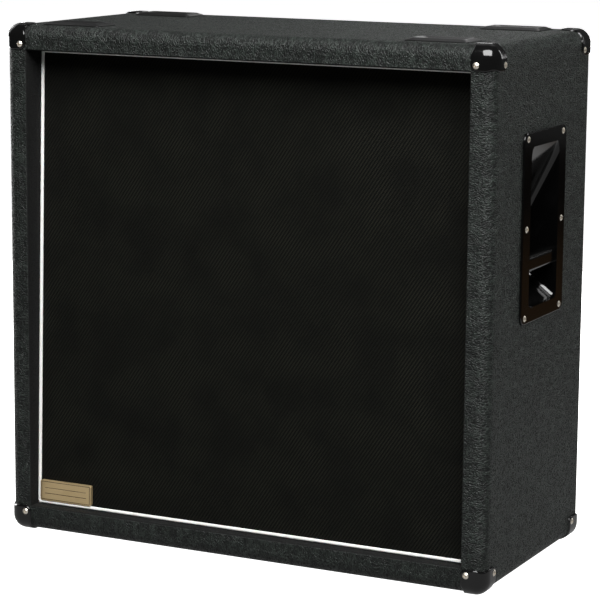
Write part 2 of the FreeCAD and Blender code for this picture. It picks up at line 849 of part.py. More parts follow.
# Back panel, its own covering and the post between it and the baffle
board_wide = ("0 - board_half", "board_half")
board_tall = ("board_low", "board_high")
jack_cut = block(
    "jack_cut", ("0 - jack_cut_wide / 2", "jack_cut_wide / 2"), ("board_front - back_board", "rear"),
    ("jack_height - jack_cut_tall / 2", "jack_height + jack_cut_tall / 2"),
)
back_drills = gather("back_drills", [back_holes, small_holes])
back = block("back_slab", board_wide, ("board_front", "board_rear"), board_tall)
back = cut("back_jack_hole", back, jack_cut)
keep(cut("back_panel", back, back_drills), "back_panel")
back_skin = block("back_skin", board_wide, ("board_rear", "vinyl_rear"), board_tall)
back_skin = cut("back_skin_jack_hole", back_skin, jack_cut)
keep(cut("back_panel_covering", back_skin, back_drills), "back_panel_covering")
post = block(
    "post_block", ("0 - post / 2", "post / 2"), ("baffle_front", "board_front"),
    ("middle - post / 2", "middle + post / 2"),
)
ahead_of_post = block(
    "ahead_of_post_upright", ("0 - post", "post"), ("front", "baffle_rear"),
    ("middle - post", "middle + post"),
)
post = cut("post_sloped", post, leaning("ahead_of_post", [ahead_of_post]))
keep(cut("centre_post", post, back_holes), "centre_post")


# Corner caps: pieces of a shell around the covering, with round ends
def cap_region(x, y, z, wide, deep, tall):
    """The space at one corner that a cap fills, rounded where its three faces end."""
    edge = Vector(x * (half_width + cap_wall), y * (rear + cap_wall), high + cap_wall if z > 0 else 0)
    inner = Vector(x * (half_width - wide), y * (rear - deep), high - tall if z > 0 else low + tall)
    low_corner = Vector(*(min(a, b) for a, b in zip(edge, inner)))
    high_corner = Vector(*(max(a, b) for a, b in zip(edge, inner)))
    box = Part.makeBox(*(high_corner - low_corner), low_corner)
    meeting = [e for e in box.Edges if any(v.Point.distanceToPoint(inner) < 0.01 for v in e.Vertexes)]
    return box.makeFillet(size("cap_round"), meeting)


cap_shell = cut("cap_shell", cap_form, covering_form)
doc.recompute()


def cap_shape(x, y, z):
    """One cap. Those at the rear stop at the edge of the back panel's recess."""
    if y < 0:
        lip_tall = size("lip_top") if z > 0 else size("lip_bottom")
        region = cap_region(x, y, z, size("lip_side"), size("cap_depth"), lip_tall)
    else:
        region = cap_region(
            x, y, z, size("rear_cap_width"), size("rear_cap_depth"), size("rear_cap_height")
        )
    shell = cap_shell.Shape.common(region)
    if y > 0:
        shell = shell.cut(rear_opening.Shape)
    return shell


for y, depth_name in ((-1, "front"), (1, "rear")):
    for z, height_name in ((1, "top"), (-1, "bottom")):
        for x, side_name in ((-1, "left"), (1, "right")):
            label = f"corner_cap_{depth_name}_{height_name}_{side_name}"
            cap = feature(label + "_blank", cap_shape(x, y, z))
            keep(cut(label, cap, outer_holes), label)


# Recessed handles
def handle_profile():
    """The recess seen from the front, for the right hand side, as points of depth and height."""
    top = size("mouth_tall") / 2
    depth = size("handle_depth")
    shoulder = top - size("handle_slope")
    return [
        (-size("handle_flange"), top),
        (depth, shoulder),
        (depth, shoulder - size("handle_flat")),
        (size("handle_sill"), -top),
        (-size("handle_flange"), -top),
    ]


def recess_solid(grow):
    """The recess, or its outside when it is grown by the wall."""
    height = size("handle_height")
    outline = [Vector(half_width - depth, 0, height + rise) for depth, rise in handle_profile()]
    wire = Part.makePolygon(outline + outline[:1])
    if grow:
        wire = wire.makeOffset2D(grow)
    width = size("mouth_wide") + 2 * grow
    solid = Part.Face(wire).extrude(Vector(0, width, 0))
    solid.translate(Vector(0, size("handle_back") - width / 2, 0))
    return solid


def grip_shape():
    depth = half_width - size("grip_sink") - size("grip_thick") / 2
    centre = Vector(depth, size("handle_back"), size("handle_height") - size("grip_drop"))
    half = Vector(size("grip_thick") / 2, size("mouth_wide") / 2 + size("grip_seat"), size("grip_tall") / 2)
    return round_box(centre - half, centre + half, size("grip_round"), Vector(0, 1, 0))


def bucket_shape():
    void = recess_solid(0)
    mouth_face = half_width + size("handle_flange")
    inner_edges = [e for e in void.Edges if e.BoundBox.XMin < mouth_face - 0.01]
    void = void.makeFillet(size("mouth_round"), inner_edges)
    behind = Part.makeBox(half_width, 2 * rear, high, Vector(0, -rear, 0))
    shell = recess_solid(size("handle_wall")).common(behind)
    centre = Vector(half_width, size("handle_back"), size("handle_height"))
    half = Vector(0, size("handle_wide") / 2, size("handle_tall") / 2)
    far = centre + half + Vector(size("handle_flange"), 0, 0)
    plate = round_box(centre - half, far, size("handle_corner"), Vector(1, 0, 0))
    rim = [e for e in plate.Edges if e.BoundBox.XMin > mouth_face - 0.01]
    plate = plate.makeFillet(size("handle_edge"), rim)
    return shell.fuse(plate).removeSplitter().cut(void)


bucket_right = feature("bucket_blank", bucket_shape())
grip_right = feature("grip_blank", grip_shape())


def mirrored(name, source):
    mirror = doc.addObject("Part::Mirroring", name)
    mirror.Source = source
    mirror.Normal = Vector(1, 0, 0)
    return mirror


handles = {
    "right": (bucket_right, grip_right),
    "left": (mirrored("bucket_mirror", bucket_right), mirrored("grip_mirror", grip_right)),
}
for side_name, (bucket, grip) in handles.items():
    seated = cut(f"bucket_seats_{side_name}", bucket, grip)
    keep(cut(f"handle_bucket_{side_name}", seated, outer_holes), f"handle_bucket_{side_name}")
    keep(gather(f"handle_grip_{side_name}", [grip]), f"handle_grip_{side_name}")


# Stacking dishes
def dish_outline(inset, rise):
    """A rectangle with round corners, some way in from a dish's edge and up from its foot."""
    corner = Vector(size("dish_wide") / 2 - inset, size("dish_long") / 2 - inset, 0)
    foot = Vector(0, 0, rise)
    slab = round_box(foot - corner, foot + corner + Vector(0, 0, 1), size("dish_round"), Vector(0, 0, 1))
    return min(slab.Faces, key=lambda face: face.CenterOfMass.z).OuterWire


def dish_shape():
    """A low plate with a short wall, a broad bevel and a shallow hollow with two screw recesses."""
    tall, rim, slope = size("dish_tall"), size("dish_rim"), size("dish_slope")
    floor = tall - size("dish_sink")
    wall, bevel = size("dish_wall"), size("dish_bevel")
    rising = [dish_outline(0, 0), dish_outline(0, wall), dish_outline(bevel, tall)]
    sinking = [dish_outline(rim + slope, floor), dish_outline(rim, tall)]
    hollows = [Part.makeLoft(sinking, True, True)]
    for end in sides:
        seat = Vector(end * size("dish_screw_reach"), 0, floor - size("dish_screw_sink"))
        hollows.append(Part.makeCylinder(size("small_head") + size("drill_room"), size("dish_sink"), seat))
    return Part.makeLoft(rising, True, True).cut(hollows)


for y, depth_name in ((-1, "front"), (1, "rear")):
    for x, side_name in ((-1, "left"), (1, "right")):
        label = f"stacking_dish_{depth_name}_{side_name}"
        dish = place(feature(label + "_blank", dish_shape()), f"{x} * socket_x", f"{y} * dish_y", "high")
        keep(cut(label, dish, small_holes), label)


# Castor sockets
def castor_socket(index, x, y):
    top = "low - socket_plate + socket_long + socket_roof"
    sleeve = rod(f"sleeve_{index}", "socket_radius", "low - socket_plate", top)
    flange = rod(f"flange_{index}", "socket_flange", "low - socket_plate", "low")
    bore = rod(f"bore_{index}", "socket_bore", "low - socket_plate", "low - socket_plate + socket_long")
    socket = cut(f"socket_{index}", join(f"socket_blank_{index}", sleeve, flange), bore)
    return place(socket, f"{x} * socket_x", f"{y} * socket_y", 0)


sockets = [castor_socket(number, x, y) for number, (x, y) in enumerate(socket_spots)]
keep(gather("castor_sockets", sockets), "castor_sockets")


# Speakers: the pieces that stay still, one group of four for each kind
speaker_spots = [lean * Placement(centre, facing_back) for centre in speaker_centres]


def four(label, master):
    """The same piece on all four speakers."""
    doc.recompute()
    return feature(label, copies(master.Shape, speaker_spots))


def basket():
    flange = tube("flange", "basket_mouth - basket_sheet", "speaker_rim", "gasket", "gasket + basket_sheet")
    wall = cut(
        "basket_wall",
        horn("wall_outside", "basket_mouth", "basket_neck", "gasket + basket_sheet", "basket_rear"),
        horn(
            "wall_inside", "basket_mouth - basket_sheet", "basket_neck - basket_sheet",
            "gasket + basket_sheet", "basket_rear",
        ),
    )
    floor = tube("basket_floor", "basket_back_hole", "basket_neck", "basket_rear", "top_plate_front")
    windows = []
    for index in range(WINDOW_COUNT):
        window = block(
            f"window_{index}", ("0", "speaker_rim"), ("0 - window_wide / 2", "window_wide / 2"),
            ("gasket + basket_deep / 4", "basket_rear - basket_deep / 6"),
        )
        turned = gather(f"window_turned_{index}", [window])
        turned.Placement.Rotation = Rotation(Vector(0, 0, 1), (index + 0.5) * 360 / WINDOW_COUNT)
        windows.append(turned)
    return cut("basket", join("basket_blank", flange, wall, floor), *windows)


baskets = four("basket_group", basket())
keep(cut("speaker_baskets", baskets, speaker_holes), "speaker_baskets")
gasket_ring = tube("gasket_ring", "speaker_rim - gasket_wide", "speaker_rim", "0", "gasket")
gaskets = four("gasket_group", gasket_ring)
keep(cut("speaker_gaskets", gaskets, speaker_holes), "speaker_gaskets")
plate_hole = "coil_outside + coil_gap"
top_plate = tube("top_plate", plate_hole, "top_plate_radius", "top_plate_front", "magnet_front")
keep(four("speaker_top_plates", top_plate), "speaker_top_plates")
magnet = tube("magnet", "magnet_hole", "magnet_radius", "magnet_front", "yoke_front")
keep(four("speaker_magnets", magnet), "speaker_magnets")
yoke = join(
    "yoke",
    rod("yoke_disc", "yoke_radius", "yoke_front", "yoke_front + yoke_plate"),
    rod("pole", "pole_radius", "top_plate_front", "yoke_front"),
)
keep(four("speaker_yokes", yoke), "speaker_yokes")


def formed_ring(outline):
    """A ring turned about the Z axis from points of radius and height."""
    face = flat_face([Vector(radius, 0, rise) for radius, rise in outline])
    return face.revolve(Vector(), Vector(0, 0, 1), 360)


def surround_shape():
    """A half roll from the cone's edge to the basket's rim, pressed from thin sheet."""
    sheet_thick = size("surround_sheet")
    inner = size("cone_edge") + size("surround_gap")
    outer = size("basket_mouth")
    seat = size("gasket")
    land = size("speaker_rim") - size("gasket_wide") - size("surround_gap")
    middle = (inner + outer) / 2
    radius = (outer - inner) / 2
    arc = [math.pi * step / ROLL_STEPS for step in range(ROLL_STEPS + 1)]
    outside = [(middle - radius * math.cos(a), seat - sheet_thick - radius * math.sin(a)) for a in arc]
    tight = radius - sheet_thick
    inside = [(middle + tight * math.cos(a), seat - tight * math.sin(a)) for a in arc]
    skirt = size("cone_front") + size("surround_skirt")
    outline = [(inner, skirt)] + outside[:-1]
    outline += [(land, seat - sheet_thick), (land, seat)]
    outline += inside
    outline += [(inner + sheet_thick, skirt)]
    return formed_ring(outline)


def spider_shape():
    """A corrugated ring from the voice coil's former to the basket's floor."""
    sheet_thick = size("spider_sheet")
    inner = size("coil_inside") + size("coil_former") + size("spider_gap")
    outer = size("spider_land")
    seat = size("basket_rear")
    height = seat - size("spider_height")
    wave = size("spider_wave")
    span = outer - inner
    count = 2 * SPIDER_WAVES + 1
    tops = []
    for index in range(count):
        lift = wave if index % 2 else -wave
        tops.append((inner + span * (index + 0.5) / (count + 1), height + lift))
    upper = [(inner, height)] + tops
    foot = seat - sheet_thick
    upper += [(outer - 3 * sheet_thick, foot), (outer + size("spider_rim"), foot)]
    lower = [(radius, rise + sheet_thick) for radius, rise in reversed(upper)]
    return formed_ring(upper + lower)


keep(feature("speaker_surrounds", copies(surround_shape(), speaker_spots)), "speaker_surrounds")
keep(feature("speaker_spiders", copies(spider_shape(), speaker_spots)), "speaker_spiders")


# Speakers: the pieces that move, named for their place as seen from the front
def cone(label):
    neck = "coil_inside + coil_former"
    back = horn(label + "_back", "cone_edge", f"{neck} + cone_wall", "cone_front", "cone_rear")
    hollow = horn(label + "_hollow", "cone_edge - cone_wall", neck, "cone_front", "cone_rear")
    return cut(label, back, hollow)


def dust_cap(label):
    """A shallow dome that closes the neck of the cone."""
    mouth_radius = size("cone_edge") - size("cone_wall")
    neck_radius = size("coil_inside") + size("coil_former")
    slope = (mouth_radius - neck_radius) / (size("cone_rear") - size("cone_front"))
    seat = size("cone_front") + (mouth_radius - size("cap_radius")) / slope
    rise = size("cap_rise")
    ball = (size("cap_radius") ** 2 + rise**2) / (2 * rise)
    centre = Vector(0, 0, seat - rise + ball)
    dome = Part.makeSphere(ball, centre).cut(Part.makeSphere(ball - size("cap_skin"), centre))
    slice_box = Part.makeBox(4 * ball, 4 * ball, rise, Vector(-2 * ball, -2 * ball, seat - rise))
    return feature(label, dome.common(slice_box))


def voice_coil(label):
    former_outside = "coil_inside + coil_former"
    former = tube(label + "_former", "coil_inside", former_outside, "coil_front", "coil_rear")
    wire = tube(label + "_wire", former_outside, "coil_outside", "winding_front", "coil_rear")
    return join(label, former, wire)


corners = ("top_left", "top_right", "bottom_left", "bottom_right")
for number, corner in enumerate(corners):
    for make, kind in ((cone, "cone"), (dust_cap, "dust_cap"), (voice_coil, "voice_coil")):
        label = f"{kind}_{corner}"
        keep(leaning(label, [to_speaker(make(label + "_upright"), number)]), label)

# Terminal blocks on the baskets' rims, towards the middle of the cabinet
terminal_radius = "(speaker_rim + basket_mouth) / 2"
terminal_seat = "gasket + basket_sheet"
terminals = []
for number, corner in enumerate(corners):
    inward = ("1", "-1", "1", "-1")[number]
    terminal = block(
        f"terminal_{corner}",
        (
            f"{inward} * {terminal_radius} - terminal_wide / 2",
            f"{inward} * {terminal_radius} + terminal_wide / 2",
        ),
        ("0 - terminal_tall / 2", "terminal_tall / 2"),
        (terminal_seat, f"{terminal_seat} + terminal_long"),
    )
    terminals.append(to_speaker(gather(f"terminal_seat_{corner}", [terminal]), number))
keep(leaning("speaker_terminals", terminals), "speaker_terminals")


# Jack plate with two sockets and a slide switch
def jack_plate_shape():
    half = Vector(size("jack_plate_wide") / 2, 0, size("jack_plate_tall") / 2)
    centre = Vector(0, size("vinyl_rear"), size("jack_height"))
    far = centre + half + Vector(0, size("jack_plate_thick"), 0)
    return round_box(centre - half, far, size("jack_plate_round"), Vector(0, 1, 0))


def along_back(thing, x, y, z):
    """Turn a piece made along Z to point back, and bind its place."""
    thing.Placement = Placement(Vector(), facing_back)
    return place(thing, x, y, z)


def bush_hole(index, x):
    hole = rod(f"bush_hole_{index}", "jack_bush + drill_room", "0", "2 * jack_plate_thick")
    return along_back(hole, f"{x} * jack_spread", "vinyl_rear - jack_plate_thick / 2", "jack_height")


bush_holes = [bush_hole(number, x) for number, x in enumerate(sides)]
slot_half = "knob_long / 2 + slider_travel / 2 + slider_gap"
knob_slot = block(
    "knob_slot", (f"0 - ({slot_half})", slot_half),
    ("vinyl_rear - jack_plate_thick", "jack_face + jack_plate_thick"),
    ("jack_height - knob_tall / 2 - slider_gap", "jack_height + knob_tall / 2 + slider_gap"),
)
plate_blank = feature("jack_plate_blank", jack_plate_shape())
plate_blank = cut("jack_plate_openings", plate_blank, gather("jack_openings", bush_holes + [knob_slot]))
keep(cut("jack_plate", plate_blank, small_holes), "jack_plate")


def jack_socket(index, x):
    """A body behind the plate, a bush through it and a collar outside, bored for a plug."""
    square = ("0 - jack_body / 2", "jack_body / 2")
    collar_face = "jack_plate_thick + jack_collar_thick"
    body = block(f"jack_body_{index}", square, square, ("0 - jack_body_long", "0"))
    bush = rod(f"jack_bush_{index}", "jack_bush", "0", "jack_plate_thick")
    collar = rod(f"jack_collar_{index}", "jack_collar", "jack_plate_thick", collar_face)
    bore = rod(f"jack_bore_{index}", "jack_bore", f"{collar_face} - jack_bore_long", collar_face)
    socket = cut(f"jack_{index}", join(f"jack_blank_{index}", body, bush, collar), bore)
    return along_back(socket, f"{x} * jack_spread", "vinyl_rear", "jack_height")


keep(gather("jack_sockets", [jack_socket(n, x) for n, x in enumerate(sides)]), "jack_sockets")
cavity_half = "slider_long / 2 + slider_travel / 2 + slider_gap"
switch_case = cut(
    "switch_case",
    block(
        "switch_block", ("0 - switch_long / 2", "switch_long / 2"),
        ("vinyl_rear - switch_deep", "vinyl_rear"),
        ("jack_height - switch_tall / 2", "jack_height + switch_tall / 2"),
    ),
    block(
        "switch_channel", (f"0 - ({cavity_half})", cavity_half),
        ("vinyl_rear - switch_cavity", "vinyl_rear"),
        ("jack_height - slider_tall / 2 - slider_gap", "jack_height + slider_tall / 2 + slider_gap"),
    ),
)
keep(switch_case, "switch_body")
slider_middle = "0 - slider_travel / 2"
slider = join(
    "slider",
    block(
        "slider_base", (f"{slider_middle} - slider_long / 2", f"{slider_middle} + slider_long / 2"),
        ("vinyl_rear - slider_gap - slider_thick", "vinyl_rear - slider_gap"),
        ("jack_height - slider_tall / 2", "jack_height + slider_tall / 2"),
    ),
    block(
        "slider_knob", (f"{slider_middle} - knob_long / 2", f"{slider_middle} + knob_long / 2"),
        ("vinyl_rear - slider_gap - slider_thick", "jack_face + knob_proud"),
        ("jack_height - knob_tall / 2", "jack_height + knob_tall / 2"),
    ),
)
keep(slider, "switch_slider")


# Leads from the sockets to the terminals, with the largest bends that their runs allow
def lead_path(points):
    edges = []
    last = points[0]
    for before, here, after in zip(points, points[1:], points[2:]):
        into = (here - before).normalize()
        away = (after - here).normalize()
        turn = into.getAngle(away)
        reach = 0.45 * min((here - before).Length, (after - here).Length)
        radius = reach / math.tan(turn / 2)
        start = here - into * reach
        end = here + away * reach
        inward = (away - into).normalize()
        bend = here + inward * (radius / math.cos(turn / 2) - radius)
        edges.append(Part.LineSegment(last, start).toShape())
        edges.append(Part.Arc(start, bend, end).toShape())
        last = end
    edges.append(Part.LineSegment(last, points[-1]).toShape())
    return Part.Wire(edges)


def lead_shape(number):
    side = -1 if number % 2 == 0 else 1
    upper = number < 2
    centre = speaker_centres[number]
    inward = (size("speaker_rim") + size("basket_mouth")) / 2
    reach = size("gasket") + size("basket_sheet") + size("terminal_long")
    end = lean * (centre + Vector(-side * inward, reach, 0))
    offset = size("lead") if upper else -size("lead")
    start = Vector(
        side * size("jack_spread"),
        size("vinyl_rear") - size("jack_body_long"),
        size("jack_height") + offset,
    )
    drop = (start.y - end.y) / 5
    points = [
        start,
        start + Vector(0, -drop, 0),
        Vector(start.x, start.y - 2 * drop, start.z + (end.z - start.z) * 0.3),
        Vector(start.x, end.y + 2 * drop, start.z + (end.z - start.z) * 0.7),
        end + lean.Rotation * Vector(0, drop, 0),
        end,
    ]
    path = lead_path(points)
    section = Part.Wire(Part.Circle(start, Vector(0, -1, 0), size("lead") / 2).toShape())
    return path.makePipeShell([section], True, False)


keep(feature("speaker_leads", Part.makeCompound([lead_shape(n) for n in speaker_numbers])), "speaker_leads")

# Check every piece, then write it
doc.recompute()
faults = [item.Name for item in doc.Objects if "Invalid" in item.State or "Error" in item.State]
faults += [piece.Label for piece in pieces if piece.Shape.isNull() or not piece.Shape.isValid()]
if faults:
    raise RuntimeError("These objects failed: " + ", ".join(faults))
for piece in pieces:
    piece.Shape.exportStep(f"parts/{piece.Label}.step")
print(len(pieces), "pieces written")
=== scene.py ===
import json
import math

import bmesh
import bpy
from mathutils import Matrix, Vector


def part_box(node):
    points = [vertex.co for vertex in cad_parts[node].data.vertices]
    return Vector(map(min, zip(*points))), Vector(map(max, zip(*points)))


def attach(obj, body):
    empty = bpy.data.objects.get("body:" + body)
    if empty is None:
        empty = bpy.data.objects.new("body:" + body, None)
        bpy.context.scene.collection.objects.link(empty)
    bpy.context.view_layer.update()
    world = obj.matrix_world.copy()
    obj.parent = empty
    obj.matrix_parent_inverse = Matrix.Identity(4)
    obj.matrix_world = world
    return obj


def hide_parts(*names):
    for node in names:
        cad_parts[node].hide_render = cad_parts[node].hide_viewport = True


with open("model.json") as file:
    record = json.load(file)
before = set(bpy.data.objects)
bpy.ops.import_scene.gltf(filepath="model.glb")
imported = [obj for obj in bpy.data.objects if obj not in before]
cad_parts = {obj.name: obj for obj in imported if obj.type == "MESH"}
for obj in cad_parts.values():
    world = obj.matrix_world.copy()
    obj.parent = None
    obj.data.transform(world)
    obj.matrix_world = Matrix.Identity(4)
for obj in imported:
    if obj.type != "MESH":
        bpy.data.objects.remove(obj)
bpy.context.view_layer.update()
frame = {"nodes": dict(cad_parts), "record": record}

# A straight guitar speaker cabinet with four twelve inch speakers, dressed for its photograph.
# Metres. X runs to the right as seen from the front, Y to the back and Z up.

# The cabinet over its covering
HALF_WIDTH = 0.385
FRONT = -0.1835
REAR = 0.1835
LOW = 0.0025
HIGH = 0.7575
EDGE_ROUND = 0.019
FRONT_ROUND = 0.018
REAR_ROUND = 0.010
LIP_SIDE = 0.036
LIP_TOP = 0.036
LIP_BOTTOM = 0.037

# The grille leans back about a line across its middle
CLOTH_FRONT = -0.149
GRILLE_MIDDLE = 0.3805
GRILLE_TILT = math.radians(1.9)

# Corner caps: their reach along each face, their thickness and their scalloped outline
CAP_WALL = 0.0025
CAP_EDGE = 0.0026
CAP_SINK = 0.0028
CAP_CELL = 0.00068
CAP_DEPTH = 0.038
REAR_CAP_REACH = (0.036, 0.039, 0.035)
REAR_FRAME = 0.0196
CAP_ROUND = 0.009
SCALLOP_RADIUS = 0.0175
SCALLOP_DEPTHS = (0.003, 0.006, 0.0028)
SCALLOP_BLEND = 0.003
LIP_MARGIN = 0.0004

# How the caps' points settle on their outline and on the cabinet's surface
ANCHOR_BEYOND = 0.003
SETTLE_SHARE = 0.6
SETTLE_ROUNDS = 4
NUDGE_SHARE = 0.05
LEVEL_SLOPE = 1e-6
FARTHEST_SHARE = 1.6
HALVINGS = 26

# Edges that moulding and pressing leave a little round, with the angles from which an edge counts as sharp.
# A piece with no more than a few faces keeps them all.
WELD_REACH = 0.00001
FLAT_ANGLE = math.radians(0.2)
SHARP_ANGLE = 35
DISH_SHARP_ANGLE = 12
DISH_EDGE = 0.0006
SMALL_EDGE = 0.0004
FEW_FACES = 100

# The photograph's viewpoint: metres, and degrees of turn to the left, tilt down and roll
CAMERA_PLACE = (1.5984, -3.18518, 0.99977)
CAMERA_TURN, CAMERA_TILT, CAMERA_ROLL = 26.5345, 10.2602, 0.4475
CAMERA_LENS = 146.62

# The studio: its far wall, the paper sheet under the cabinet, and points that the lights face
STUDIO_REACH = 25
WALL_STEPS = 48
PAPER_REACH = 5
PAPER_RISE = 0.0002
CABINET_MIDDLE = (0, 0, 0.38)
ABOVE_MIDDLE = (0, 0, 0.4)
TOP_LEVEL = (0, 0, 0.76)

# Where a mixing step takes its factor and its two values, and where it gives its result
COLOUR_SOCKETS = (0, 6, 7, 2)
VECTOR_SOCKETS = (0, 4, 5, 1)

nodes = frame["nodes"]


# Materials
class Surface:
    """A procedural material. Nodes are added one by one and wired to its shader."""

    def __init__(self, name, settings):
        self.material = bpy.data.materials.new(name)
        self.material.use_nodes = True
        self.tree = self.material.node_tree
        self.shader = self.tree.nodes["Principled BSDF"]
        self.place = self.add("ShaderNodeTexCoord").outputs["Object"]
        for socket, value in settings.items():
            self.shader.inputs[socket].default_value = value

    def add(self, kind, inputs=None, **settings):
        node = self.tree.nodes.new(kind)
        for name, value in settings.items():
            setattr(node, name, value)
        for socket, value in (inputs or {}).items():
            self.feed(node.inputs[socket], value)
        return node

    def feed(self, socket, value):
        if isinstance(value, bpy.types.NodeSocket):
            self.tree.links.new(value, socket)
        else:
            socket.default_value = value

    def stretched(self, scale):
        """The object's coordinates, scaled differently along each axis."""
        return self.add("ShaderNodeMapping", {"Vector": self.place, "Scale": scale}).outputs["Vector"]

    def noise(self, scale, detail=2.0, roughness=0.5, where=None):
        inputs = {"Vector": where or self.place, "Scale": scale, "Detail": detail, "Roughness": roughness}
        return self.add("ShaderNodeTexNoise", inputs).outputs["Fac"]

    def ridges(self, scale, detail, where):
        """Thin winding ridges."""
        inputs = {"Vector": where, "Scale": scale, "Detail": detail, "Offset": 1.0}
        return self.add("ShaderNodeTexNoise", inputs, noise_type="RIDGED_MULTIFRACTAL").outputs["Fac"]

    def cells(self, scale, feature="F1", where=None):
        inputs = {"Vector": where or self.place, "Scale": scale}
        return self.add("ShaderNodeTexVoronoi", inputs, feature=feature).outputs["Distance"]

    def warped(self, scale, amount):
        """The object's coordinates, pushed about by noise."""
        inputs = {"Vector": self.place, "Scale": scale, "Detail": 2.0}
        colour = self.add("ShaderNodeTexNoise", inputs).outputs["Color"]
        centred = self.add("ShaderNodeVectorMath", {0: colour, 1: (0.5, 0.5, 0.5)}, operation="SUBTRACT")
        push = self.add("ShaderNodeVectorMath", {0: centred.outputs[0], "Scale": amount}, operation="SCALE")
        moved = self.add("ShaderNodeVectorMath", {0: self.place, 1: push.outputs[0]}, operation="ADD")
        return moved.outputs[0]

    def calc(self, operation, first, second=0.0):
        return self.add("ShaderNodeMath", {0: first, 1: second}, operation=operation).outputs[0]

    def near(self, value, target, room):
        """One where a value is within some room of a target, and nothing elsewhere."""
        return self.add("ShaderNodeMath", {0: value, 1: target, 2: room}, operation="COMPARE").outputs[0]

    def between(self, value, low, high, start=0.0, end=1.0):
        """A value's place between two limits, eased at both ends."""
        inputs = {"Value": value, "From Min": low, "From Max": high, "To Min": start, "To Max": end}
        return self.add("ShaderNodeMapRange", inputs, interpolation_type="SMOOTHSTEP").outputs["Result"]

    def axis(self, name):
        return self.add("ShaderNodeSeparateXYZ", {0: self.place}).outputs[name]

    def mixed(self, kind, sockets, values):
        *inputs, result = sockets
        node = self.add("ShaderNodeMix", data_type=kind)
        for socket, value in zip(inputs, values):
            self.feed(node.inputs[socket], value)
        return node.outputs[result]

    def blend(self, factor, first, second):
        """A colour between two others."""
        return self.mixed("RGBA", COLOUR_SOCKETS, (factor, first, second))

    def either(self, factor, first, second):
        """One of two vectors."""
        return self.mixed("VECTOR", VECTOR_SOCKETS, (factor, first, second))

    def dress(self, colour, roughness, height, depth, strength):
        """Wire the finished patterns to the shader, the height as a fine relief."""
        bump = self.add("ShaderNodeBump", {"Height": height, "Distance": depth, "Strength": strength})
        self.feed(self.shader.inputs["Base Color"], colour)
        self.feed(self.shader.inputs["Roughness"], roughness)
        self.feed(self.shader.inputs["Normal"], bump.outputs["Normal"])
        return self.material


def grey(level):
    return (level, level, level, 1)


def shade(colour, share):
    """A colour made darker or lighter by a share."""
    return tuple(value * share for value in colour[:3]) + (1,)


def vinyl():
    """Black covering with a wrinkled leather grain, rougher and darkened with painted shade in the grille's
    recess.
    """
    look = Surface("vinyl", {"Specular IOR Level": 0.26})
    pit = (0.0020, 0.0024, 0.0022, 1)
    low_ridge = (0.0047, 0.0062, 0.0052, 1)
    high_ridge = (0.0188, 0.0240, 0.0206, 1)
    # Painted shade: the colour of the covering inside the grille's recess.
    painted_recess_shade = (0.0018, 0.0020, 0.0018, 1)
    front_band = 0.05
    upright_stretch = (0.6, 0.5, 1.15)
    level_stretch = (1.15, 0.5, 0.6)
    wrinkle_share, pebble_share, pore_share = 0.62, 0.3, 0.12
    matt, glossy, recess_dullness = 0.68, 0.42, 0.35
    relief_depth, relief_strength, recess_relief = 0.0012, 0.85, 0.15
    from_side = look.calc("SUBTRACT", look.calc("ABSOLUTE", look.axis("X")), HALF_WIDTH - LIP_SIDE)
    from_middle = look.calc("ABSOLUTE", look.calc("SUBTRACT", look.axis("Z"), GRILLE_MIDDLE))
    from_level = look.calc("SUBTRACT", from_middle, HIGH - LIP_TOP - GRILLE_MIDDLE)
    on_level = look.calc("GREATER_THAN", from_level, from_side)
    grain = look.either(on_level, upright_stretch, level_stretch)
    bent = look.warped(60, 0.008)
    run = look.add("ShaderNodeMapping", {"Vector": bent, "Scale": grain}).outputs["Vector"]
    wrinkles = look.ridges(295, 2.2, run)
    pebbles = look.between(look.cells(400, "DISTANCE_TO_EDGE", run), 0.0, 0.3)
    pores = look.noise(1700, 2)
    height = look.calc("MULTIPLY", wrinkles, wrinkle_share)
    height = look.calc("ADD", height, look.calc("MULTIPLY", pebbles, pebble_share))
    height = look.calc("ADD", height, look.calc("MULTIPLY", pores, pore_share))
    mottled = look.between(look.noise(105, 4, 0.62, run), 0.36, 0.66)
    colour = look.blend(look.between(height, 0.35, 1.0), pit, look.blend(mottled, low_ridge, high_ridge))
    # Outside the grille's recess. Inside it the covering gets painted shade, more roughness and a flatter
    # relief.
    outside = look.between(look.calc("MAXIMUM", from_side, from_level), 0.0003, 0.0022)
    behind = look.calc("GREATER_THAN", look.axis("Y"), CLOTH_FRONT + front_band)
    outside = look.calc("MAXIMUM", outside, behind)
    colour = look.blend(outside, painted_recess_shade, colour)
    gloss = look.between(height, 0.25, 1.05, matt, glossy)
    roughness = look.calc("ADD", gloss, look.between(outside, 0.0, 1.0, recess_dullness, 0.0))
    relief = look.calc("MULTIPLY", height, look.between(outside, 0.0, 1.0, recess_relief, 1.0))
    return look.dress(colour, roughness, relief, relief_depth, relief_strength)


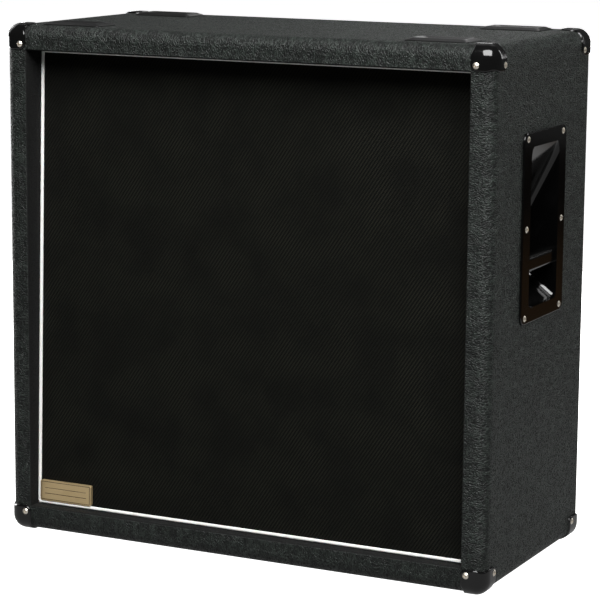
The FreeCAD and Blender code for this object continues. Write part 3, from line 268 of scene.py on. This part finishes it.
def twill():
    """Near-black grille cloth: a steep two over two twill of coarse threads."""
    look = Surface("grille_cloth", {"Specular IOR Level": 0.08})
    warp_pitch = 0.00127
    weft_pitch = 0.00195
    gap = (0.0006, 0.0007, 0.0005, 1)
    dark_thread = (0.0062, 0.0064, 0.0045, 1)
    pale_thread = (0.0150, 0.0152, 0.0108, 1)
    threads_in_repeat, threads_over = 4.0, 2.0
    weft_share, fuzz_share, thread_share = 0.8, 0.3, 0.95
    hollow_roughness, crown_roughness, full_height = 0.95, 0.7, 1.2
    relief_depth, relief_strength = 0.0005, 0.8
    across = look.calc("DIVIDE", look.axis("X"), warp_pitch)
    along = look.calc("DIVIDE", look.axis("Z"), weft_pitch)
    warp = look.calc("SINE", look.calc("MULTIPLY", look.calc("FRACT", across), math.pi))
    weft = look.calc("SINE", look.calc("MULTIPLY", look.calc("FRACT", along), math.pi))
    count = look.calc("SUBTRACT", look.calc("FLOOR", across), look.calc("FLOOR", along))
    over = look.calc("LESS_THAN", look.calc("FLOORED_MODULO", count, threads_in_repeat), threads_over)
    under = look.calc("SUBTRACT", 1.0, over)
    warp_on_top = look.calc("MULTIPLY", over, warp)
    weft_on_top = look.calc("MULTIPLY", under, look.calc("MULTIPLY", weft, weft_share))
    height = look.calc("ADD", warp_on_top, weft_on_top)
    fuzz = look.noise(2600, 3, 0.7)
    height = look.calc("ADD", height, look.calc("MULTIPLY", fuzz, fuzz_share))
    patchy = look.between(look.noise(14, 3, 0.6), 0.3, 0.7)
    thread = look.blend(patchy, dark_thread, pale_thread)
    colour = look.blend(look.calc("MULTIPLY", warp_on_top, thread_share), gap, thread)
    roughness = look.between(height, 0, full_height, hollow_roughness, crown_roughness)
    return look.dress(colour, roughness, height, relief_depth, relief_strength)


def white_piping():
    """Satin white vinyl cord, a little soiled."""
    settings = {"Specular IOR Level": 0.45, "Subsurface Weight": 0.05, "Subsurface Scale": 0.001}
    look = Surface("piping", settings)
    clean = (0.70, 0.70, 0.68, 1)
    soiled = (0.52, 0.51, 0.47, 1)
    colour = look.blend(look.between(look.noise(45, 4, 0.65), 0.5, 0.85), clean, soiled)
    ripple = look.calc("ADD", look.noise(260, 2), look.calc("MULTIPLY", look.noise(1800, 2), 0.25))
    return look.dress(colour, look.between(look.noise(120), 0.3, 0.7, 0.32, 0.5), ripple, 0.0003, 0.5)


def gold_plate():
    """Brushed gold with a thin dark border and two plain dark lines."""
    look = Surface("gold_plate", {"Metallic": 0.7, "Anisotropic": 0.4})
    dark_gold = (0.48, 0.355, 0.185, 1)
    pale_gold = (0.62, 0.475, 0.26, 1)
    tarnished = (0.42, 0.30, 0.14, 1)
    ink_colour = (0.02, 0.015, 0.01, 1)
    tarnish_share, grain_share = 0.35, 0.25
    border_inset, border_half = 0.0022, 0.00045
    line_rise, line_half, line_inset = 0.0042, 0.0004, 0.008
    low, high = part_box("corner_plate")
    middle = (low + high) / 2
    half = (high - low) / 2
    x = look.calc("ABSOLUTE", look.calc("SUBTRACT", look.axis("X"), middle.x))
    z = look.calc("ABSOLUTE", look.calc("SUBTRACT", look.axis("Z"), middle.z))
    from_edge = look.calc("MINIMUM", look.calc("SUBTRACT", half.x, x), look.calc("SUBTRACT", half.z, z))
    border = look.near(from_edge, border_inset, border_half)
    line = look.near(z, line_rise, line_half)
    line = look.calc("MULTIPLY", line, look.calc("LESS_THAN", x, half.x - line_inset))
    ink = look.calc("MAXIMUM", border, line)
    grain = look.noise(900, 3, 0.6, look.stretched((0.03, 1, 1)))
    tarnish = look.between(look.noise(60, 4, 0.6), 0.45, 0.8)
    gold = look.blend(grain, dark_gold, pale_gold)
    gold = look.blend(look.calc("MULTIPLY", tarnish, tarnish_share), gold, tarnished)
    colour = look.blend(ink, gold, ink_colour)
    height = look.calc("SUBTRACT", look.calc("MULTIPLY", grain, grain_share), ink)
    return look.dress(colour, look.between(grain, 0.3, 0.7, 0.3, 0.45), height, 0.00015, 0.6)


def moulded(name, colour, roughness, grain_scale, grain_depth, specular=0.5, scuff=0.3):
    """Moulded plastic or rubber, with fine grain, handling marks and a few scuffs."""
    look = Surface(name, {"Specular IOR Level": specular})
    marks = look.between(look.noise(28, 4, 0.6), 0.45, 0.75)
    scratches = look.between(look.noise(700, 3, 0.7, look.stretched((1, 0.12, 0.3))), 0.62, 0.78)
    wear = look.calc("MULTIPLY", look.calc("MAXIMUM", look.calc("MULTIPLY", marks, 0.5), scratches), scuff)
    lighter = tuple(min(1, value * 2.2 + 0.004) for value in colour[:3]) + (1,)
    tone = look.blend(wear, colour, lighter)
    gloss = look.calc("ADD", roughness, look.calc("MULTIPLY", wear, 0.35))
    height = look.calc("ADD", look.noise(grain_scale, 3, 0.6), look.calc("MULTIPLY", scratches, -0.15))
    return look.dress(tone, gloss, height, grain_depth, 0.4)


def metal(name, colour, roughness, stretch=(1, 1, 1), stain=0.3):
    """Bare or plated metal with fine turning marks and stains."""
    look = Surface(name, {"Metallic": 1.0})
    brushed = look.noise(1400, 3, 0.65, look.stretched(stretch))
    stains = look.calc("MULTIPLY", look.between(look.noise(85, 4, 0.65), 0.45, 0.8), stain)
    clean = look.blend(brushed, shade(colour, 0.88), colour)
    tone = look.blend(stains, clean, shade(colour, 0.55))
    gloss = look.calc("ADD", look.between(brushed, 0.3, 0.7, roughness * 0.8, roughness * 1.25), stains)
    return look.dress(tone, gloss, brushed, 0.00006, 0.5)


def painted(name, colour, roughness):
    """Powder coated metal: an even orange peel with a few chips."""
    look = Surface(name, {"Specular IOR Level": 0.45})
    peel = look.noise(1100, 2)
    chips = look.between(look.cells(140), 0.06, 0.02)
    rare = look.between(look.noise(22), 0.6, 0.68)
    chipped = look.calc("MULTIPLY", chips, rare)
    bare_metal = (0.28, 0.27, 0.26, 1)
    tone = look.blend(look.noise(30, 3), colour, shade(colour, 1.5))
    tone = look.blend(chipped, tone, bare_metal)
    height = look.calc("SUBTRACT", look.calc("MULTIPLY", peel, 0.4), chipped)
    return look.dress(tone, look.between(peel, 0.3, 0.7, roughness, roughness + 0.15), height, 0.0001, 0.5)


def wood(name, pale, dark, stretch, plies=0.0):
    """Bare timber: growth lines along one direction, pores, and plies where it is plywood."""
    look = Surface(name, {"Specular IOR Level": 0.3})
    run = look.stretched(stretch)
    lines = look.noise(38, 4, 0.55, run)
    rings = look.calc("SINE", look.calc("MULTIPLY", lines, 46.0))
    pores = look.between(look.noise(900, 2, 0.5, run), 0.55, 0.75)
    tone = look.blend(look.between(rings, -1, 1), pale, dark)
    tone = look.blend(look.calc("MULTIPLY", pores, 0.45), tone, shade(dark, 0.45))
    height = look.calc("SUBTRACT", look.calc("MULTIPLY", rings, 0.15), pores)
    if plies:
        layer = look.calc("SINE", look.calc("MULTIPLY", look.axis("Y"), 2 * math.pi / plies))
        tone = look.blend(look.between(layer, 0.2, 0.9, 0.0, 0.3), tone, dark)
    return look.dress(tone, look.between(lines, 0.3, 0.7, 0.6, 0.8), height, 0.0002, 0.4)


def fibrous(name, colour, roughness, scale, depth, weave=0.0):
    """Pressed paper, board or doped cloth: matted fibres, with threads where it is woven."""
    look = Surface(name, {"Specular IOR Level": 0.25, "Sheen Weight": 0.08})
    fibres = look.noise(scale, 5, 0.7, look.warped(scale * 0.2, 0.004))
    tone = look.blend(fibres, shade(colour, 0.6), shade(colour, 1.5))
    height = fibres
    if weave:
        turns = 2 * math.pi / weave
        warp = look.calc("SINE", look.calc("MULTIPLY", look.axis("X"), turns))
        weft = look.calc("SINE", look.calc("MULTIPLY", look.axis("Z"), turns))
        height = look.calc("ADD", fibres, look.calc("MULTIPLY", look.calc("MULTIPLY", warp, weft), 0.5))
    return look.dress(tone, look.between(fibres, 0.3, 0.7, roughness, roughness - 0.15), height, depth, 0.6)


materials = {
    "vinyl": vinyl(),
    "grille_cloth": twill(),
    "piping": white_piping(),
    "gold_plate": gold_plate(),
    "cap_plastic": moulded("cap_plastic", grey(0.0022), 0.1, 420, 0.00004),
    "handle_plastic": moulded("handle_plastic", grey(0.0012), 0.1, 520, 0.00002, scuff=0.1),
    "dish_plastic": moulded("dish_plastic", grey(0.006), 0.3, 700, 0.00006, specular=0.4),
    "terminal_plastic": moulded("terminal_plastic", grey(0.012), 0.42, 900, 0.00012),
    "lead_rubber": moulded("lead_rubber", grey(0.012), 0.55, 700, 0.00015),
    "ferrite": moulded("ferrite", grey(0.05), 0.6, 1100, 0.00025, specular=0.35),
    "nickel": metal("nickel", (0.92, 0.85, 0.74, 1), 0.36, stain=0.15),
    "zinc_steel": metal("zinc_steel", (0.62, 0.63, 0.64, 1), 0.34, (1, 1, 0.1)),
    "copper": metal("copper", (0.78, 0.42, 0.26, 1), 0.3, (0.1, 1, 0.1)),
    "black_screw": painted("black_screw", grey(0.012), 0.35),
    "basket_paint": painted("basket_paint", grey(0.018), 0.42),
    "jack_plate_metal": painted("jack_plate_metal", grey(0.007), 0.5),
    "plywood": wood("plywood", (0.60, 0.45, 0.28, 1), (0.42, 0.28, 0.15, 1), (0.12, 1, 1), 0.0045),
    "softwood": wood("softwood", (0.68, 0.52, 0.33, 1), (0.47, 0.31, 0.16, 1), (0.1, 1, 0.1)),
    "gasket_board": fibrous("gasket_board", (0.13, 0.11, 0.09, 1), 0.9, 600, 0.0002),
    "cone_paper": fibrous("cone_paper", (0.035, 0.032, 0.03, 1), 0.85, 500, 0.0003),
    "doped_cloth": fibrous("doped_cloth", (0.03, 0.027, 0.024, 1), 0.6, 700, 0.0002, 0.0012),
}


def clothe(piece, slot):
    piece.data.materials.clear()
    piece.data.materials.append(materials[slot])


for part in frame["record"]["subparts"]:
    clothe(nodes[part["node"]], part["material_slot"])


def soften(node, width, limit=SHARP_ANGLE):
    """Round a piece's sharp edges a little, as moulding and pressing leave them."""
    weld = nodes[node].modifiers.new("weld", "WELD")
    weld.merge_threshold = WELD_REACH
    if len(nodes[node].data.polygons) > FEW_FACES:
        flat = nodes[node].modifiers.new("flat", "DECIMATE")
        flat.decimate_type = "DISSOLVE"
        flat.angle_limit = FLAT_ANGLE
    bevel = nodes[node].modifiers.new("bevel", "BEVEL")
    bevel.width = width
    bevel.segments = 2
    bevel.limit_method = "ANGLE"
    bevel.angle_limit = math.radians(limit)
    even = nodes[node].modifiers.new("even", "WEIGHTED_NORMAL")
    even.mode = "FACE_AREA_WITH_ANGLE"
    even.weight = 100


# Pieces
def new_piece(name, mesh, slot, replaced):
    piece = bpy.data.objects.new(name, mesh)
    bpy.context.scene.collection.objects.link(piece)
    clothe(piece, slot)
    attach(piece, "cabinet")
    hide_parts(*replaced)
    return piece


def grille_cloth():
    """One sheet stretched over the baffle board, leaning back with it."""
    low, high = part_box("grille_cloth")
    steps = 60
    edge_room = 0.0002
    lean = Matrix.Rotation(-GRILLE_TILT, 4, "X")
    hinge = Vector((0, CLOTH_FRONT, GRILLE_MIDDLE))
    wide = high.x - low.x
    tall = (high.z - low.z) / math.cos(GRILLE_TILT) - edge_room
    points = []
    for row in range(steps + 1):
        for column in range(steps + 1):
            flat = Vector(((column / steps - 0.5) * wide, 0, (row / steps - 0.5) * tall))
            points.append(hinge + lean @ flat)
    quads = []
    for row in range(steps):
        for column in range(steps):
            corner = row * (steps + 1) + column
            quads.append((corner, corner + 1, corner + steps + 2, corner + steps + 1))
    mesh = bpy.data.meshes.new("stretched_cloth")
    mesh.from_pydata(points, [], quads)
    mesh.shade_smooth()
    cloth = new_piece("stretched_cloth", mesh, "grille_cloth", ["grille_cloth"])


grille_cloth()


# Corner caps, worked out from each point's distances to the side, the front or rear, and the top or bottom
def depth_inside(point, end_round):
    """How far a point lies under the cabinet's rounded surface near a corner."""
    side, end, level = point
    if side < EDGE_ROUND and level < EDGE_ROUND:
        edge = EDGE_ROUND - math.hypot(EDGE_ROUND - side, EDGE_ROUND - level)
    else:
        edge = min(side, level)
    if edge < end_round and end < end_round:
        return end_round - math.hypot(end_round - edge, end_round - end)
    return min(edge, end)


def soft_min(first, second):
    share = max(SCALLOP_BLEND - abs(first - second), 0) / SCALLOP_BLEND
    return min(first, second) - share * share * SCALLOP_BLEND / 4


def margin(face, u, v, reach, rear):
    """How far a point on one face lies inside the cap's outline, whose lobes are scalloped at the edges."""
    first, second = (axis for axis in range(3) if axis != face)
    across, along = reach[first] - u, reach[second] - v
    if across < CAP_ROUND and along < CAP_ROUND:
        inside = CAP_ROUND - math.hypot(CAP_ROUND - across, CAP_ROUND - along)
    else:
        inside = min(across, along)
    for axis, run, off in ((first, u, v), (second, v, u)):
        centre = reach[axis] + SCALLOP_RADIUS - SCALLOP_DEPTHS[axis]
        inside = soft_min(inside, math.hypot(run - centre, off) - SCALLOP_RADIUS)
    if rear and face == 1:
        inside = min(inside, REAR_FRAME - min(u, v))
    return inside


def settle(face, u, v, reach, rear):
    """Move a point that is close to the outline onto it."""
    inside = margin(face, u, v, reach, rear)
    if abs(inside) > SETTLE_SHARE * CAP_CELL:
        return u, v, inside
    nudge = NUDGE_SHARE * CAP_CELL
    for _ in range(SETTLE_ROUNDS):
        inside = margin(face, u, v, reach, rear)
        slope_u = (margin(face, u + nudge, v, reach, rear) - inside) / nudge if u else 0
        slope_v = (margin(face, u, v + nudge, reach, rear) - inside) / nudge if v else 0
        steep = slope_u**2 + slope_v**2
        if steep < LEVEL_SLOPE:
            break
        u -= inside * slope_u / steep
        v -= inside * slope_v / steep
    return u, v, 0.0


def on_surface(target, anchor, lift, end_round):
    """The point that stands off the cabinet by a lift, on the line from an inner anchor to a target."""
    near, far = 0.0, FARTHEST_SHARE
    for _ in range(HALVINGS):
        share = (near + far) / 2
        point = anchor.lerp(target, share)
        if depth_inside(point, end_round) > -lift:
            near = share
        else:
            far = share
    return anchor.lerp(target, near)


def cap_form(reach, end_round, rear):
    """A cap's points, the points sunk below its rim, and its faces, as distances from the corner's planes."""
    anchor = Vector(reach) + ANCHOR_BEYOND * Vector((1, 1, 1))
    counts = [math.ceil(length / CAP_CELL) + 1 for length in reach]
    found, points, sunk, faces = {}, [], [], []

    def point_at(face, row, column):
        key = [row, column]
        key.insert(face, 0)
        key = tuple(key)
        if key not in found:
            u, v, inside = settle(face, row * CAP_CELL, column * CAP_CELL, reach, rear)
            if inside < 0:
                found[key] = None
            else:
                target = [u, v]
                target.insert(face, 0)
                target = Vector(target)
                slope = 1 - min(inside / CAP_EDGE, 1)
                lift = CAP_WALL * math.sqrt(1 - slope * slope)
                found[key] = len(points)
                points.append(on_surface(target, anchor, lift, end_round))
                sunk.append(on_surface(target, anchor, -CAP_SINK, end_round))
        return found[key]

    for face in range(3):
        rows, columns = (counts[axis] for axis in range(3) if axis != face)
        for row in range(rows):
            for column in range(columns):
                ring = ((row, column), (row + 1, column), (row + 1, column + 1), (row, column + 1))
                corners = [point_at(face, *spot) for spot in ring]
                corners = [corner for corner in corners if corner is not None]
                if len(corners) > 2:
                    faces.append(corners)
    return points, sunk, faces


def cap_mesh(name, form, side, end, level):
    """One cap at its own corner, with a rim that goes into the covering."""
    points, sunk, faces = form
    corner = Vector((side * HALF_WIDTH, REAR if end > 0 else FRONT, HIGH if level > 0 else LOW))
    outward = Vector((side, end, level))

    def stand(point):
        return corner - Vector(sign * distance for sign, distance in zip(outward, point))

    shell = bmesh.new()
    vertices = [shell.verts.new(stand(point)) for point in points]
    for face in faces:
        shell.faces.new([vertices[index] for index in face])
    shell.verts.index_update()
    rim = [edge for edge in shell.edges if edge.is_boundary]
    foot = {}
    for vertex in dict.fromkeys(vertex for edge in rim for vertex in edge.verts):
        foot[vertex] = shell.verts.new(stand(sunk[vertex.index]))
    for edge in rim:
        first, second = edge.verts
        shell.faces.new((first, second, foot[second], foot[first]))
    bmesh.ops.recalc_face_normals(shell, faces=shell.faces)
    shell.faces.ensure_lookup_table()
    if shell.faces[0].normal.dot(outward) < 0:
        bmesh.ops.reverse_faces(shell, faces=shell.faces)
    mesh = bpy.data.meshes.new(name)
    shell.to_mesh(mesh)
    shell.free()
    mesh.shade_smooth()
    return mesh


def corner_caps():
    front_top = (LIP_SIDE - LIP_MARGIN, CAP_DEPTH, LIP_TOP - LIP_MARGIN)
    front_bottom = (LIP_SIDE - LIP_MARGIN, CAP_DEPTH, LIP_BOTTOM - LIP_MARGIN)
    forms = {
        (-1, 1): cap_form(front_top, FRONT_ROUND, False),
        (-1, -1): cap_form(front_bottom, FRONT_ROUND, False),
        (1, 1): cap_form(REAR_CAP_REACH, REAR_ROUND, True),
    }
    forms[1, -1] = forms[1, 1]
    for (end, level), form in forms.items():
        for side, side_name in ((-1, "left"), (1, "right")):
            spot = f"{'rear' if end > 0 else 'front'}_{'top' if level > 0 else 'bottom'}_{side_name}"
            mesh = cap_mesh(f"rounded_cap_{spot}", form, side, end, level)
            new_piece(f"rounded_cap_{spot}", mesh, "cap_plastic", [f"corner_cap_{spot}"])


corner_caps()
for depth in ("front", "rear"):
    for side in ("left", "right"):
        soften(f"stacking_dish_{depth}_{side}", DISH_EDGE, DISH_SHARP_ANGLE)
for node in ("corner_plate", "jack_plate", "castor_sockets", "switch_slider"):
    soften(node, SMALL_EDGE)


# Camera, light and floor
def camera():
    turn, tilt, roll = (math.radians(angle) for angle in (CAMERA_TURN, CAMERA_TILT, CAMERA_ROLL))
    data = bpy.data.cameras.new("camera")
    data.lens = CAMERA_LENS
    data.sensor_width = 36
    data.clip_end = 200
    viewer = bpy.data.objects.new("camera", data)
    bpy.context.scene.collection.objects.link(viewer)
    aim = Matrix.Rotation(turn, 4, "Z") @ Matrix.Rotation(math.pi / 2 - tilt, 4, "X")
    viewer.matrix_world = Matrix.Translation(CAMERA_PLACE) @ aim @ Matrix.Rotation(roll, 4, "Z")
    bpy.context.scene.camera = viewer


def softbox(name, direction, distance, opening, power, target=ABOVE_MIDDLE, mirrored=True):
    """A rectangular light that faces a target, at degrees to the right of the cabinet's front and up."""
    data = bpy.data.lights.new(name, "AREA")
    data.shape = "RECTANGLE"
    data.size, data.size_y = opening
    data.energy = power
    turn, rise = (math.radians(angle) for angle in direction)
    way = Vector((math.sin(turn) * math.cos(rise), -math.cos(turn) * math.cos(rise), math.sin(rise)))
    lamp = bpy.data.objects.new(name, data)
    aim = way.to_track_quat("Z", "Y").to_matrix().to_4x4()
    lamp.matrix_world = Matrix.Translation(Vector(target) + way * distance) @ aim
    lamp.visible_glossy = mirrored
    bpy.context.scene.collection.objects.link(lamp)


def stage_piece(name, points, faces, material):
    """A surface of the studio, not attached to the cabinet."""
    mesh = bpy.data.meshes.new(name)
    mesh.from_pydata(points, [], faces)
    mesh.materials.append(material)
    piece = bpy.data.objects.new(name, mesh)
    bpy.context.scene.collection.objects.link(piece)
    return piece


def ground_plane(name, reach, height, material):
    """A flat square, level with the ground."""
    corners = [(reach * x, reach * y, height) for x, y in ((-1, -1), (1, -1), (1, 1), (-1, 1))]
    return stage_piece(name, corners, [(0, 1, 2, 3)], material)


def round_wall(name, reach, material):
    """A far wall that stands all round on the ground, as high as it is far. It casts no shadow."""
    points, faces = [], []
    for level in (0, reach):
        for step in range(WALL_STEPS):
            turn = 2 * math.pi * step / WALL_STEPS
            points.append((reach * math.cos(turn), reach * math.sin(turn), level))
    for step in range(WALL_STEPS):
        following = (step + 1) % WALL_STEPS
        faces.append((step, following, following + WALL_STEPS, step + WALL_STEPS))
    wall = stage_piece(name, points, faces, material)
    wall.visible_shadow = False
    return wall


def floor(glow):
    """The pale floor and far wall that the camera sees. They glow, as a lit studio sweep does."""
    look = Surface("floor", {"Roughness": 0.9, "Emission Color": (1, 1, 1, 1), "Emission Strength": glow})
    pale = look.blend(look.noise(0.6), grey(0.86), grey(0.9))
    look.feed(look.shader.inputs["Base Color"], pale)
    ground = ground_plane("floor", STUDIO_REACH, 0, look.material)
    wall = round_wall("studio_wall", STUDIO_REACH, look.material)
    for surround in (ground, wall):
        surround.visible_diffuse = False
        surround.visible_glossy = False


def paper(glow):
    """The white sheet under the cabinet, with dark floor past its edge, as gloss and bounce light see it."""
    look = Surface("paper", {"Base Color": (0, 0, 0, 1), "Specular IOR Level": 0, "Emission Strength": glow})
    white, brown, dark = (1, 1, 1, 1), (0.11, 0.06, 0.025, 1), (0.01, 0.006, 0.003, 1)
    sheet_edge, floor_fade = (1.6, 1.9), (2.4, 4.0)
    length = look.add("ShaderNodeVectorMath", {0: look.place}, operation="LENGTH").outputs["Value"]
    tone = look.blend(look.between(length, *sheet_edge), white, brown)
    tone = look.blend(look.between(length, *floor_fade), tone, dark)
    look.feed(look.shader.inputs["Emission Color"], tone)
    sheet = ground_plane("paper", PAPER_REACH, PAPER_RISE, look.material)
    sheet.visible_camera = False
    sheet.visible_shadow = False


def sky(strength):
    world = bpy.data.worlds.new("studio")
    world.use_nodes = True
    background = world.node_tree.nodes["Background"]
    background.inputs["Color"].default_value = (1, 1, 1, 1)
    background.inputs["Strength"].default_value = strength
    bpy.context.scene.world = world


camera()
floor(glow=0.95)
paper(glow=0.42)
sky(strength=0.05)

# The main light from the front right, and a strip that shows as a streak on the right cap
softbox("key", (23.7, 47.8), 2.6, (2.65, 1.8), 200, (0.2, -0.1, 0.6))
softbox("side_strip", (153, 13), 2.4, (0.35, 1.3), 6, (0.387, -0.16, 0.73))

# Fills for the sides and the top
softbox("right_fill", (108, 30), 3.0, (2.6, 2.6), 56, mirrored=False)
softbox("left_fill", (-108, 30), 3.0, (1.6, 1.6), 9)
softbox("back_fill", (190, 55), 3.0, (2.0, 1.6), 3)

# Low lights behind, which the top and its dishes mirror at a flat angle
softbox("backdrop", (207, 11), 3.2, (2.2, 0.5), 0.8, TOP_LEVEL)
softbox("dish_light", (194, 24), 2.6, (0.6, 0.35), 2.4, TOP_LEVEL)

# Lights level with the cabinet, for its back and its left
softbox("rear_low", (205, 0), 2.4, (2.4, 0.7), 60, CABINET_MIDDLE)
softbox("left_low", (-115, 0), 2.4, (2.4, 0.7), 30, CABINET_MIDDLE)
bpy.context.scene.view_settings.view_transform = "Standard"
